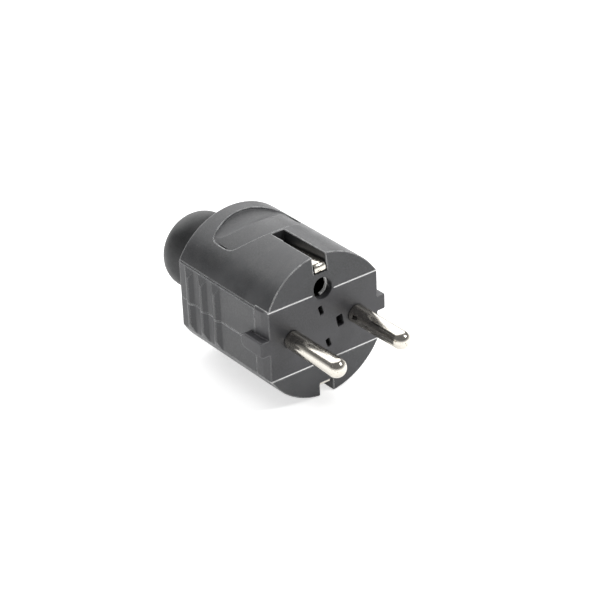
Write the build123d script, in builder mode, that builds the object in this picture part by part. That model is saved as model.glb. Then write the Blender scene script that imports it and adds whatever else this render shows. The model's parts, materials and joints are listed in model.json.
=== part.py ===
from build123d import *
import math
import os

# Schuko plug, millimetres. Origin: centre of the engagement face between the two pins.
# X runs from the left pin to the right pin, the pins point along -Y, Z points up.

# Engagement profile
BODY_R = 18.5
FLAT_W = 32.6
BODY_L = 36.3
BAND_H = 9.25
LEAN_DEG = 8.5
PARTING_Z = -0.95
WALL = 2.2
REAR_WALL = 2.4
FRONT_WALL = 3.9
REAR_EDGE_R = 0.9
JOINT_CHAMFER = 0.22

# Contact pins and their terminal heads
PIN_R = 2.4
PIN_L = 19.0
PIN_SPACING = 19.0
PIN_NECK = 0.15
SHANK_R = 2.1
HEAD_W = 6.4
HEAD_H = 6.4
HEAD_L = 8.2
HEAD_CHAMFER = 0.35
HEAD_END_WALL = 1.2
WIRE_R = 1.45
TERM_SCREW_R = 1.5
TERM_SCREW_HEAD_R = 2.4
TERM_SCREW_HEAD_H = 1.8
TERM_SCREW_GAP = 0.8
TERM_SCREW_SHORT = 0.3

# Contact carrier
FLANGE_L = 5.2
CARRIER_GAP = 0.3
CARRIER_STEP = 0.7
LUG_PROUD = 2.15
LUG_TOP = 2.1
LUG_BOTTOM = -1.9
LUG_STRAIGHT = 6.4
LUG_EDGE = 0.45
LEAD_IN_X = 0.3
LEAD_IN_Y = 2.6

# Slots in the front face: x, z, width, height, turn in degrees, depth
FRONT_SLOTS = [
    (-0.87, 4.6, 1.1, 2.4, 16.0, 6.0),
    (4.65, -0.13, 1.85, 2.95, 10.0, 6.0),
    (1.0, -4.8, 1.15, 2.3, 18.0, 6.0),
]

# Earth-pin socket
SOCKET_Z = 10.1
SOCKET_R = 2.65
SLEEVE_R = 2.35
SLEEVE_T = 0.5
SLEEVE_CLEAR = 0.1
SLEEVE_FRONT = 2.0
SLEEVE_BASE = 1.0
SLEEVE_SLIT = 0.7

# Earth grooves and the bent strip that lies in them
GROOVE_W_FRONT = 4.0
GROOVE_W_REAR = 3.6
GROOVE_RUN = 2.5
SOCKET_ROOF = 0.95
GROOVE_LOW_FLOOR = -15.0
CHANNEL_WALL = 1.4
STRIP_W = 3.2
STRIP_T = 0.8
STRIP_BEND = 1.1
STRIP_RISE = 2.1
STRIP_FALL = 0.9
STRIP_TOE_RISE = 0.4
STRIP_TOE_Y = 1.25
STRIP_LOW_Y = 0.6
STRIP_CLEAR = 0.15
RIVET_R = 0.8
RIVET_HEAD_R = 1.5
RIVET_HEAD_H = 0.6
RIVET_TAIL_R = 1.3
RIVET_TAIL_L = 1.2

# Earth terminal
EARTH_W = 6.0
EARTH_L = 6.2
EARTH_H = 6.0
EARTH_TOP = -0.6

# Grip ribs on both flats
RIB_PITCH = 5.45
RIB_FROM_REAR = 15.6
RIB_COUNT = 3
RIB_BASE = 3.5
RIB_CREST = 0.8
RIB_H = 0.8
RIB_TOP_Z = 8.3
RIB_TOP_RUN = 2.2
RIB_LOW_Z = -9.0
RIB_LOW_RUN = 2.1
ARCH_LINE_Z = 8.8
ARCH_LINE_H = 0.36
ARCH_LINE_D = 0.35

# Thumb dish across the arch
DISH_FROM_REAR = 4.4
DISH_L = 14.1
DISH_HALF = 10.75
DISH_FRONT_R = 17.0
DISH_REAR_R = 22.0
DISH_CORNER_R = 2.8
DISH_STRIP_D = 0.3
DISH_STRIP_L = 7.0
DISH_SCOOP_L = 4.4
DISH_SCOOP_D = 1.35
DISH_SCOOP_R = 4.6
DISH_SCOOP_AXIS = -11.0
DISH_BACKING = 1.2

# Housing screws and nuts
BOSS_X = 10.6
BOSS_R = 3.1
BOSS_GAP = 0.1
SCREW_R = 1.5
SCREW_CLEAR = 0.15
SCREW_HEAD_R = 2.7
SCREW_HEAD_H = 2.0
SCREW_SEAT_Z = -9.6
SCREW_TIP = 0.8
SCREW_CHAMFER = 0.25
SCREW_SLOT = 0.36
NUT_AF = 4.6
NUT_H = 2.2
NUT_Z = 3.2

# Cord clamp
CLAMP_X = 6.7
CLAMP_FROM_BOSS = 3.8
CLAMP_GAP = 0.8
CLAMP_POST_R = 1.7
CLAMP_SADDLE_T = 2.0
CLAMP_BITE = 0.6
CLAMP_ARCH = 1.9
CLAMP_END = 2.1
CLAMP_FLAT = 0.1
CLAMP_POST_TOP = 1.2
CLAMP_BAR_T = 1.8
CLAMP_BAR_W = 3.8
CLAMP_SCREW_R = 1.2
CLAMP_HEAD_R = 2.0
CLAMP_HEAD_H = 1.4
CLAMP_DEPTH = 6.0

# Rubber grommet
CORD_R = 4.1
NECK_R = 5.6
GROMMET_FLANGE_R = 6.8
GROMMET_FLANGE_T = 1.4
GROMMET_COLLAR = 1.2
WAIST_R = 6.3
WAIST_Y = 4.8
FLARE_R = 7.4
FLARE_Y = 8.3
SHOULDER_R = 9.5
SHOULDER_Y = 11.9
BULB_R = 10.2
BULB_Y = 14.3
BULB_REAR_R = 7.2
BULB_REAR_Y = 19.0
BULB_L = 19.7
BULB_MOUTH = 0.7
BULB_FACE_R = 5.5

# Through cuts run this far past the face
PAST = 1.0

HALF_W = FLAT_W / 2
PIN_X = PIN_SPACING / 2
INNER_R = BODY_R - WALL
INNER_X = HALF_W - WALL
LUG_OUT = HALF_W + LUG_PROUD
CAVITY_END = BODY_L - REAR_WALL
CLAMP_Y = CAVITY_END - GROMMET_FLANGE_T - CLAMP_GAP - CLAMP_BAR_W / 2
BOSS_Y = CLAMP_Y - CLAMP_FROM_BOSS
CARRIER_L = BOSS_Y - BOSS_R - BOSS_GAP - HEAD_L
GROOVE_L = CARRIER_L + GROOVE_RUN
GROOVE_TOP_FLOOR = SOCKET_Z + SLEEVE_R + SLEEVE_T + SLEEVE_CLEAR + SOCKET_ROOF
STRIP_TOP_Z = GROOVE_TOP_FLOOR + STRIP_RISE
STRIP_TOE_Z = GROOVE_TOP_FLOOR + STRIP_TOE_RISE
RIB_FIRST_Y = BODY_L - RIB_FROM_REAR
DISH_REAR = BODY_L - DISH_FROM_REAR
DISH_FRONT = DISH_REAR - DISH_L
LEAN = math.tan(math.radians(LEAN_DEG))
CROWN = 2 * BODY_R
STRIP_Y = CARRIER_L + STRIP_T / 2
CHANNEL_W = 2 * (SLEEVE_R + SLEEVE_T + SLEEVE_CLEAR + SOCKET_ROOF)


def across(y):
    """Plane at depth y, with local x along X and local y along Z."""
    return Plane.XZ.offset(-y)


os.makedirs("parts", exist_ok=True)

# Body envelope: two arcs and two flats, the front leaning back above the band
with BuildPart() as envelope:
    with BuildSketch(across(-PAST)):
        Circle(BODY_R)
        Rectangle(FLAT_W, CROWN, mode=Mode.INTERSECT)
    extrude(amount=-(BODY_L + 2 * PAST))
    with BuildSketch(Plane.YZ):
        with BuildLine():
            Polyline(
                (0, -BODY_R - PAST),
                (0, BAND_H),
                (LEAN * (BODY_R + PAST - BAND_H), BODY_R + PAST),
                (BODY_L, BODY_R + PAST),
                (BODY_L, -BODY_R - PAST),
                close=True,
            )
        make_face()
    extrude(amount=BODY_R + PAST, both=True, mode=Mode.INTERSECT)
    fillet(envelope.faces().sort_by(Axis.Y)[-1].edges(), REAR_EDGE_R)

# The whole inner space, front plate excluded
with BuildPart() as cavity:
    with BuildSketch(across(FRONT_WALL)):
        Circle(INNER_R)
        Rectangle(2 * INNER_X, CROWN, mode=Mode.INTERSECT)
    extrude(amount=-(CAVITY_END - FRONT_WALL))

# Inner ribs and posts may reach half way into the wall, and no further
with BuildPart() as inner_core:
    with BuildSketch(across(FRONT_WALL)):
        Circle(BODY_R - WALL / 2)
        Rectangle(FLAT_W - WALL, CROWN, mode=Mode.INTERSECT)
    extrude(amount=-(CAVITY_END - FRONT_WALL))

# Room taken by the front plate of the carrier
with BuildPart() as plate_room:
    with BuildSketch(across(-PAST)):
        Rectangle(FLAT_W + 2 * PAST, 2 * BAND_H)
    extrude(amount=-(FLANGE_L + PAST))

# Earth groove outline seen from above, a little narrower towards the rear
with BuildSketch() as groove:
    with BuildLine():
        Polyline(
            (-GROOVE_W_FRONT / 2, -PAST),
            (GROOVE_W_FRONT / 2, -PAST),
            (GROOVE_W_REAR / 2, GROOVE_L),
            (-GROOVE_W_REAR / 2, GROOVE_L),
            close=True,
        )
    make_face()

# Grip ribs: the body profile grown outward, each with two sloping flanks
rib_y = [RIB_FIRST_Y + i * RIB_PITCH for i in range(RIB_COUNT)]
RIB_SLOPE = math.degrees(math.atan2(RIB_H, (RIB_BASE - RIB_CREST) / 2))
with BuildPart() as ribs:
    for y in rib_y:
        for side in (1, -1):
            with BuildSketch(across(y)):
                Circle(BODY_R + RIB_H)
                Rectangle(FLAT_W + 2 * RIB_H, CROWN + 4, mode=Mode.INTERSECT)
            extrude(amount=side * RIB_CREST / 2)
            with BuildSketch(across(y - side * RIB_CREST / 2)):
                Circle(BODY_R + RIB_H)
                Rectangle(FLAT_W + 2 * RIB_H, CROWN + 4, mode=Mode.INTERSECT)
            extrude(amount=side * (RIB_BASE - RIB_CREST) / 2, taper=RIB_SLOPE)
    with BuildSketch(across(0)):
        with BuildLine():
            Polyline(
                (INNER_X, RIB_TOP_Z),
                (HALF_W, RIB_TOP_Z),
                (HALF_W + RIB_H, RIB_TOP_Z - RIB_TOP_RUN),
                (HALF_W + RIB_H, RIB_LOW_Z + RIB_LOW_RUN),
                (HALF_W, RIB_LOW_Z),
                (INNER_X, RIB_LOW_Z),
                close=True,
            )
        make_face()
        mirror(about=Plane.YZ)
    extrude(amount=-(BODY_L + PAST), mode=Mode.INTERSECT)

# Outline of the thumb dish seen from above: two arcs between straight sides
with BuildSketch() as dish_outline:
    with Locations((0, DISH_REAR - DISH_REAR_R)):
        Circle(DISH_REAR_R)
    with Locations((0, DISH_FRONT + DISH_FRONT_R)):
        Circle(DISH_FRONT_R, mode=Mode.INTERSECT)
    with Locations((0, (DISH_FRONT + DISH_REAR) / 2)):
        Rectangle(2 * DISH_HALF, DISH_REAR - DISH_FRONT, mode=Mode.INTERSECT)
    fillet(dish_outline.vertices(), DISH_CORNER_R)

# Shallow floor of the thumb dish, the same depth all over
with BuildPart() as dish_floor:
    with BuildSketch(across(DISH_FRONT - PAST)):
        Circle(BODY_R + PAST)
        Circle(BODY_R - DISH_STRIP_D, mode=Mode.SUBTRACT)
    extrude(amount=-(DISH_REAR - DISH_FRONT + 2 * PAST))
    with BuildSketch(Plane.XY):
        add(dish_outline.sketch)
    extrude(amount=BODY_R + PAST, mode=Mode.INTERSECT)

# Deeper scoop behind the strip, turned about a lower axis so that it fades out to both sides
scoop_y = DISH_FRONT + DISH_STRIP_L + DISH_SCOOP_L
scoop_rim = DISH_SCOOP_D - DISH_STRIP_D
with BuildPart() as dish_scoop:
    with BuildSketch(Plane.YZ):
        with BuildLine():
            entry = JernArc(
                (scoop_y, BODY_R - DISH_SCOOP_D),
                (-1, 0),
                -(DISH_SCOOP_L**2 + scoop_rim**2) / (2 * scoop_rim),
                math.degrees(2 * math.atan2(scoop_rim, DISH_SCOOP_L)),
            )
            exit_run = math.sqrt(DISH_SCOOP_R**2 - (DISH_SCOOP_R - DISH_SCOOP_D) ** 2)
            rise = JernArc(
                (scoop_y, BODY_R - DISH_SCOOP_D),
                (1, 0),
                DISH_SCOOP_R,
                math.degrees(math.asin(exit_run / DISH_SCOOP_R)),
            )
            Polyline(entry @ 1, (DISH_FRONT, BODY_R + PAST), (DISH_REAR, BODY_R + PAST), rise @ 1)
        make_face()
    revolve(axis=Axis((0, 0, DISH_SCOOP_AXIS), (0, 1, 0)))
    with BuildSketch(Plane.XY):
        add(dish_outline.sketch)
    extrude(amount=BODY_R + PAST, mode=Mode.INTERSECT)

# Socket housing, groove walls, screw bosses and dish backing inside the upper shell
with BuildPart() as upper_fittings:
    with BuildSketch(Plane.XY.offset(BAND_H)):
        with Locations((0, (FRONT_WALL + CARRIER_L) / 2)):
            Rectangle(CHANNEL_W, CARRIER_L - FRONT_WALL)
    extrude(amount=GROOVE_TOP_FLOOR - BAND_H)
    with BuildSketch(Plane.XY.offset(GROOVE_TOP_FLOOR - CHANNEL_WALL)):
        with Locations((0, (FRONT_WALL + GROOVE_L + CHANNEL_WALL) / 2)):
            Rectangle(CHANNEL_W, GROOVE_L + CHANNEL_WALL - FRONT_WALL)
    extrude(amount=BODY_R - GROOVE_TOP_FLOOR + CHANNEL_WALL)
    with Locations((BOSS_X, BOSS_Y, PARTING_Z), (-BOSS_X, BOSS_Y, PARTING_Z)):
        Cylinder(BOSS_R, BODY_R - PARTING_Z, align=(Align.CENTER, Align.CENTER, Align.MIN))
    with BuildSketch(across(DISH_FRONT + DISH_STRIP_L)):
        Circle(BODY_R)
        Circle(INNER_R - DISH_BACKING, mode=Mode.SUBTRACT)
        with Locations((0, BODY_R)):
            Rectangle(2 * DISH_HALF, 2 * (BODY_R - BAND_H), mode=Mode.INTERSECT)
    extrude(amount=-(DISH_REAR - DISH_FRONT - DISH_STRIP_L))
    add(inner_core.part, mode=Mode.INTERSECT)

# Upper shell
with BuildPart() as upper_shell:
    add(envelope.part)
    add(ribs.part)
    split(bisect_by=Plane.XY.offset(PARTING_Z), keep=Keep.TOP)
    add(cavity.part, mode=Mode.SUBTRACT)
    add(upper_fittings.part)
    with Locations((BOSS_X, BOSS_Y, NUT_Z + NUT_H), (-BOSS_X, BOSS_Y, NUT_Z + NUT_H)):
        Cylinder(
            SCREW_R + SCREW_CLEAR,
            2 * SCREW_TIP,
            mode=Mode.SUBTRACT,
        )
    with Locations((BOSS_X, BOSS_Y, NUT_Z), (-BOSS_X, BOSS_Y, NUT_Z)):
        Cylinder(
            SCREW_R + SCREW_CLEAR,
            NUT_Z - PARTING_Z,
            align=(Align.CENTER, Align.CENTER, Align.MAX),
            mode=Mode.SUBTRACT,
        )
    with BuildSketch(Plane.XY.offset(NUT_Z)):
        with Locations((BOSS_X, BOSS_Y), (-BOSS_X, BOSS_Y)):
            RegularPolygon(NUT_AF / 2, 6, major_radius=False)
    extrude(amount=NUT_H, mode=Mode.SUBTRACT)
    add(plate_room.part, mode=Mode.SUBTRACT)
    with BuildSketch(Plane.XY.offset(GROOVE_TOP_FLOOR)):
        add(groove.sketch)
    extrude(amount=BODY_R, mode=Mode.SUBTRACT)
    with BuildSketch(Plane.XY.offset(GROOVE_TOP_FLOOR)):
        with Locations((0, STRIP_Y + STRIP_CLEAR)):
            Rectangle(STRIP_W + 2 * STRIP_CLEAR, STRIP_T + 4 * STRIP_CLEAR)
    extrude(amount=-CHANNEL_WALL - STRIP_CLEAR, mode=Mode.SUBTRACT)
    with BuildSketch(across(SLEEVE_FRONT)):
        with Locations((0, SOCKET_Z)):
            Circle(SLEEVE_R + SLEEVE_T + SLEEVE_CLEAR)
    extrude(amount=-(CARRIER_L - SLEEVE_FRONT), mode=Mode.SUBTRACT)
    with BuildSketch(across(-PAST)):
        with Locations((0, SOCKET_Z)):
            Circle(SOCKET_R)
    extrude(amount=-(SLEEVE_FRONT + PAST), mode=Mode.SUBTRACT)
    with BuildSketch(across(CAVITY_END)):
        Circle(NECK_R)
    extrude(amount=-(REAR_WALL + PAST), mode=Mode.SUBTRACT)
    with BuildSketch(across(-PAST)):
        with Locations((HALF_W, ARCH_LINE_Z), (-HALF_W, ARCH_LINE_Z)):
            Rectangle(2 * ARCH_LINE_D, ARCH_LINE_H)
    extrude(amount=-(BODY_L + 2 * PAST), mode=Mode.SUBTRACT)
    add(dish_floor.part, mode=Mode.SUBTRACT)
    add(dish_scoop.part, mode=Mode.SUBTRACT)

# Groove walls, screw bosses, clamp posts and cord saddle inside the lower shell
with BuildPart() as lower_fittings:
    with BuildSketch(Plane.XY.offset(GROOVE_LOW_FLOOR + CHANNEL_WALL)):
        with Locations((0, (FRONT_WALL + GROOVE_L + CHANNEL_WALL) / 2)):
            Rectangle(CHANNEL_W, GROOVE_L + CHANNEL_WALL - FRONT_WALL)
    extrude(amount=-(BODY_R + GROOVE_LOW_FLOOR + CHANNEL_WALL))
    with Locations((BOSS_X, BOSS_Y, PARTING_Z), (-BOSS_X, BOSS_Y, PARTING_Z)):
        Cylinder(BOSS_R, BODY_R, align=(Align.CENTER, Align.CENTER, Align.MAX))
    with Locations((CLAMP_X, CLAMP_Y, CLAMP_POST_TOP), (-CLAMP_X, CLAMP_Y, CLAMP_POST_TOP)):
        Cylinder(CLAMP_POST_R, BODY_R + CLAMP_POST_TOP, align=(Align.CENTER, Align.CENTER, Align.MAX))
    with BuildSketch(across(CLAMP_Y - CLAMP_SADDLE_T / 2)):
        with Locations((0, CLAMP_BITE - CORD_R)):
            Rectangle(2 * CLAMP_X, BODY_R, align=(Align.CENTER, Align.MAX))
        Circle(CORD_R + CLAMP_BITE, mode=Mode.SUBTRACT)
    extrude(amount=-CLAMP_SADDLE_T)
    add(inner_core.part, mode=Mode.INTERSECT)

# Lower shell
with BuildPart() as lower_shell:
    add(envelope.part)
    add(ribs.part)
    split(bisect_by=Plane.XY.offset(PARTING_Z), keep=Keep.BOTTOM)
    add(cavity.part, mode=Mode.SUBTRACT)
    add(lower_fittings.part)
    with Locations((CLAMP_X, CLAMP_Y, CLAMP_POST_TOP), (-CLAMP_X, CLAMP_Y, CLAMP_POST_TOP)):
        Cylinder(
            CLAMP_SCREW_R,
            CLAMP_DEPTH,
            align=(Align.CENTER, Align.CENTER, Align.MAX),
            mode=Mode.SUBTRACT,
        )
    with Locations((BOSS_X, BOSS_Y, PARTING_Z), (-BOSS_X, BOSS_Y, PARTING_Z)):
        Cylinder(
            SCREW_R + SCREW_CLEAR,
            BODY_R,
            align=(Align.CENTER, Align.CENTER, Align.MAX),
            mode=Mode.SUBTRACT,
        )
    with Locations((BOSS_X, BOSS_Y, SCREW_SEAT_Z), (-BOSS_X, BOSS_Y, SCREW_SEAT_Z)):
        Cylinder(
            SCREW_HEAD_R + SCREW_CLEAR,
            BODY_R,
            align=(Align.CENTER, Align.CENTER, Align.MAX),
            mode=Mode.SUBTRACT,
        )
    add(plate_room.part, mode=Mode.SUBTRACT)
    with BuildSketch(Plane.XY.offset(GROOVE_LOW_FLOOR)):
        add(groove.sketch)
    extrude(amount=-BODY_R, mode=Mode.SUBTRACT)
    with BuildSketch(Plane.XY.offset(GROOVE_LOW_FLOOR)):
        with Locations((0, STRIP_Y + STRIP_CLEAR - STRIP_BEND / 2)):
            Rectangle(STRIP_W + 2 * STRIP_CLEAR, STRIP_T + STRIP_BEND + 4 * STRIP_CLEAR)
    extrude(amount=CHANNEL_WALL + STRIP_CLEAR, mode=Mode.SUBTRACT)
    with BuildSketch(across(CAVITY_END)):
        Circle(NECK_R)
    extrude(amount=-(REAR_WALL + PAST), mode=Mode.SUBTRACT)

    chord_edges = lower_shell.edges().filter_by(Axis.X).filter_by(
        lambda e: abs(e.center().Y) < 0.01 and abs(e.center().Z + BAND_H) < 0.01
    )
    chamfer(chord_edges, JOINT_CHAMFER)

# Lead-in taper on the sides of the front plate, seen from above
with BuildSketch() as lead_in:
    with BuildLine():
        Polyline(
            (HALF_W - LEAD_IN_X, -PAST),
            (HALF_W - LEAD_IN_X, 0),
            (HALF_W, LEAD_IN_Y),
            (HALF_W + PAST, LEAD_IN_Y),
            (HALF_W + PAST, -PAST),
            close=True,
        )
    make_face()
    mirror(about=Plane.YZ)

# Contact carrier with its two guide lugs
with BuildPart() as contact_carrier:
    with BuildSketch(across(0)):
        Circle(BODY_R)
        Rectangle(FLAT_W, 2 * BAND_H, mode=Mode.INTERSECT)
    extrude(amount=-FLANGE_L)
    with BuildSketch(across(FLANGE_L)):
        Rectangle(2 * (INNER_X - CARRIER_GAP), 2 * (BAND_H - CARRIER_STEP))
        with Locations((0, BAND_H / 2)):
            Rectangle(CHANNEL_W, BAND_H)
    extrude(amount=-(CARRIER_L - FLANGE_L))
    for s in (1, -1):
        with BuildSketch(Plane.YZ.offset(s * HALF_W)):
            with BuildLine():
                Line((0, LUG_TOP), (LUG_STRAIGHT, LUG_TOP))
                ThreePointArc(
                    (LUG_STRAIGHT, LUG_TOP),
                    (LUG_STRAIGHT + (LUG_TOP - LUG_BOTTOM) / 2, (LUG_TOP + LUG_BOTTOM) / 2),
                    (LUG_STRAIGHT, LUG_BOTTOM),
                )
                Polyline((LUG_STRAIGHT, LUG_BOTTOM), (0, LUG_BOTTOM), (0, LUG_TOP))
            make_face()
        extrude(amount=s * (LUG_OUT - HALF_W))
    with BuildSketch(Plane.XY.offset(-BAND_H - PAST)):
        add(lead_in.sketch)
    extrude(amount=BAND_H + PAST + LUG_BOTTOM, mode=Mode.SUBTRACT)
    with BuildSketch(Plane.XY.offset(LUG_TOP)):
        add(lead_in.sketch)
    extrude(amount=BAND_H, mode=Mode.SUBTRACT)
    outer_edges = contact_carrier.edges().filter_by(lambda e: abs(abs(e.center().X) - LUG_OUT) < 0.01)
    fillet(outer_edges, LUG_EDGE)
    chord_edges = contact_carrier.edges().filter_by(Axis.X).filter_by(
        lambda e: abs(e.center().Y) < 0.01 and abs(abs(e.center().Z) - BAND_H) < 0.01
    )
    chamfer(chord_edges, JOINT_CHAMFER)
    with BuildSketch(across(0)):
        with Locations((PIN_X, 0), (-PIN_X, 0)):
            Circle(SHANK_R)
    extrude(amount=-CARRIER_L, mode=Mode.SUBTRACT)
    for sx, sz, sw, sh, turn, deep in FRONT_SLOTS:
        with BuildSketch(across(0)):
            with Locations(Location((sx, sz, 0), (0, 0, turn))):
                Rectangle(sw, sh)
        extrude(amount=-deep, mode=Mode.SUBTRACT)
    with BuildSketch(across(SLEEVE_FRONT)):
        with Locations((0, SOCKET_Z)):
            Circle(SLEEVE_R + SLEEVE_T + SLEEVE_CLEAR)
    extrude(amount=-(CARRIER_L - SLEEVE_FRONT), mode=Mode.SUBTRACT)
    with BuildSketch(across(-PAST)):
        with Locations((0, SOCKET_Z)):
            Circle(SOCKET_R)
    extrude(amount=-(SLEEVE_FRONT + PAST), mode=Mode.SUBTRACT)
    with BuildSketch(across(CARRIER_L)):
        with Locations((0, EARTH_TOP - EARTH_H / 2)):
            Circle(RIVET_HEAD_R + STRIP_CLEAR)
    extrude(amount=RIVET_HEAD_H + STRIP_CLEAR, mode=Mode.SUBTRACT)

# Contact pins, round nosed, each with a thinner shank and a square terminal head
pins = []
for s in (-1, 1):
    with BuildPart() as pin:
        with BuildSketch(Plane.XY):
            with BuildLine():
                Line((s * PIN_X, CARRIER_L), (s * PIN_X, -PIN_L))
                nose = CenterArc((s * PIN_X, PIN_R - PIN_L), PIN_R, -90, 90)
                Polyline(
                    nose @ 1,
                    (s * PIN_X + PIN_R, -PIN_NECK),
                    (s * PIN_X + SHANK_R, -PIN_NECK),
                    (s * PIN_X + SHANK_R, CARRIER_L),
                    (s * PIN_X, CARRIER_L),
                )
            make_face()
        revolve(axis=Axis((s * PIN_X, 0, 0), (0, 1, 0)))
        with BuildSketch(across(CARRIER_L)):
            with Locations((s * PIN_X, 0)):
                Rectangle(HEAD_W, HEAD_H)
        extrude(amount=-HEAD_L)
        rims = pin.edges().filter_by(lambda e: e.center().Y > CARRIER_L + HEAD_CHAMFER)
        chamfer(rims, HEAD_CHAMFER)
        with BuildSketch(across(CARRIER_L + HEAD_L)):
            with Locations((s * PIN_X, 0)):
                Circle(WIRE_R)
        extrude(amount=HEAD_L - HEAD_END_WALL, mode=Mode.SUBTRACT)
        with Locations((s * PIN_X, CARRIER_L + HEAD_L / 2, HEAD_H / 2)):
            Cylinder(
                TERM_SCREW_R,
                HEAD_H / 2,
                align=(Align.CENTER, Align.CENTER, Align.MAX),
                mode=Mode.SUBTRACT,
            )
    pins.append(pin.part)


def slotted_screw(x, y, seat_z, shank_r, shank_l, head_r, head_h, up):
    """Cheese-head screw standing along Z, its head on top for up = 1 and below for up = -1."""
    lower = Align.MAX if up > 0 else Align.MIN
    upper = Align.MIN if up > 0 else Align.MAX
    with BuildPart() as screw:
        with Locations((x, y, seat_z)):
            Cylinder(shank_r, shank_l, align=(Align.CENTER, Align.CENTER, lower))
            Cylinder(head_r, head_h, align=(Align.CENTER, Align.CENTER, upper))
        top = screw.faces().sort_by(Axis.Z)[-1 if up > 0 else 0]
        chamfer(top.edges(), SCREW_CHAMFER)
        with Locations((x, y, seat_z + up * head_h)):
            Box(2 * head_r + PAST, SCREW_SLOT * head_r, head_h, mode=Mode.SUBTRACT)
    return screw.part


# Terminal screws
head_y = CARRIER_L + HEAD_L / 2
term_seat = HEAD_H / 2 + TERM_SCREW_GAP
term_l = TERM_SCREW_GAP + HEAD_H / 2 - TERM_SCREW_SHORT
terminal_screw_left = slotted_screw(
    -PIN_X, head_y, term_seat, TERM_SCREW_R, term_l, TERM_SCREW_HEAD_R, TERM_SCREW_HEAD_H, 1
)
terminal_screw_right = slotted_screw(
    PIN_X, head_y, term_seat, TERM_SCREW_R, term_l, TERM_SCREW_HEAD_R, TERM_SCREW_HEAD_H, 1
)

# Earth bracket: one strip, bent four times
low_z = GROOVE_LOW_FLOOR - STRIP_T / 2
with BuildPart() as earth_bracket:
    with BuildSketch(Plane.YZ):
        with BuildLine():
            FilletPolyline(
                (STRIP_TOE_Y, STRIP_TOE_Z),
                (STRIP_TOE_Y, STRIP_TOP_Z),
                (STRIP_Y, STRIP_TOP_Z - STRIP_FALL),
                (STRIP_Y, low_z),
                (STRIP_LOW_Y, low_z),
                radius=STRIP_BEND,
            )
        trace(line_width=STRIP_T)
    extrude(amount=STRIP_W / 2, both=True)
    with BuildSketch(across(CARRIER_L)):
        with Locations((0, SOCKET_Z), (0, EARTH_TOP - EARTH_H / 2)):
            Circle(RIVET_R)
    extrude(amount=-STRIP_T, mode=Mode.SUBTRACT)

# Split sleeve of the earth-pin socket
with BuildPart() as earth_socket_sleeve:
    with BuildSketch(across(SLEEVE_FRONT)):
        with Locations((0, SOCKET_Z)):
            Circle(SLEEVE_R + SLEEVE_T)
            Circle(SLEEVE_R, mode=Mode.SUBTRACT)
        with Locations((0, SOCKET_Z - SLEEVE_R)):
            Rectangle(SLEEVE_SLIT, 2 * SLEEVE_T + SLEEVE_R, mode=Mode.SUBTRACT)
    extrude(amount=-(CARRIER_L - SLEEVE_BASE - SLEEVE_FRONT))
    with BuildSketch(across(CARRIER_L - SLEEVE_BASE)):
        with Locations((0, SOCKET_Z)):
            Circle(SLEEVE_R + SLEEVE_T)
            Circle(RIVET_HEAD_R, mode=Mode.SUBTRACT)
    extrude(amount=-RIVET_HEAD_H)
    with BuildSketch(across(CARRIER_L - SLEEVE_BASE + RIVET_HEAD_H)):
        with Locations((0, SOCKET_Z)):
            Circle(SLEEVE_R + SLEEVE_T)
            Circle(RIVET_R, mode=Mode.SUBTRACT)
    extrude(amount=-(SLEEVE_BASE - RIVET_HEAD_H))

# Rivets, the sleeve's one with its head let into the sleeve's base
sleeve_in = CARRIER_L - SLEEVE_BASE
web_back = CARRIER_L + STRIP_T
with BuildPart() as sleeve_rivet:
    with BuildSketch(across(sleeve_in)):
        with Locations((0, SOCKET_Z)):
            Circle(RIVET_HEAD_R)
    extrude(amount=-RIVET_HEAD_H)
    with BuildSketch(across(sleeve_in + RIVET_HEAD_H)):
        with Locations((0, SOCKET_Z)):
            Circle(RIVET_R)
    extrude(amount=-(SLEEVE_BASE + STRIP_T - RIVET_HEAD_H))
    with BuildSketch(across(web_back)):
        with Locations((0, SOCKET_Z)):
            Circle(RIVET_TAIL_R)
    extrude(amount=-RIVET_HEAD_H, taper=20)

earth_z = EARTH_TOP - EARTH_H / 2
with BuildPart() as terminal_rivet:
    with BuildSketch(across(CARRIER_L - RIVET_HEAD_H)):
        with Locations((0, earth_z)):
            Circle(RIVET_HEAD_R)
    extrude(amount=-RIVET_HEAD_H)
    with BuildSketch(across(CARRIER_L)):
        with Locations((0, earth_z)):
            Circle(RIVET_R)
    extrude(amount=-(STRIP_T + RIVET_TAIL_L))

# Earth terminal block
earth_screw_y = web_back + (EARTH_L + RIVET_TAIL_L) / 2
with BuildPart() as earth_terminal:
    with BuildSketch(across(web_back)):
        with Locations((0, earth_z)):
            Rectangle(EARTH_W, EARTH_H)
    extrude(amount=-EARTH_L)
    chamfer(earth_terminal.edges().filter_by(Axis.Y), HEAD_CHAMFER)
    with BuildSketch(across(web_back)):
        with Locations((0, earth_z)):
            Circle(RIVET_R)
    extrude(amount=-RIVET_TAIL_L, mode=Mode.SUBTRACT)
    with BuildSketch(across(web_back + EARTH_L)):
        with Locations((0, earth_z)):
            Circle(WIRE_R)
    extrude(amount=EARTH_L - 1.5 * RIVET_TAIL_L, mode=Mode.SUBTRACT)
    with Locations((0, earth_screw_y, EARTH_TOP)):
        Cylinder(
            TERM_SCREW_R,
            EARTH_H / 2,
            align=(Align.CENTER, Align.CENTER, Align.MAX),
            mode=Mode.SUBTRACT,
        )
earth_seat = EARTH_TOP + TERM_SCREW_GAP
earth_screw_l = TERM_SCREW_GAP + EARTH_H / 2 - TERM_SCREW_SHORT
earth_terminal_screw = slotted_screw(
    0, earth_screw_y, earth_seat, TERM_SCREW_R, earth_screw_l, TERM_SCREW_HEAD_R, TERM_SCREW_HEAD_H, 1
)

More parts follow.
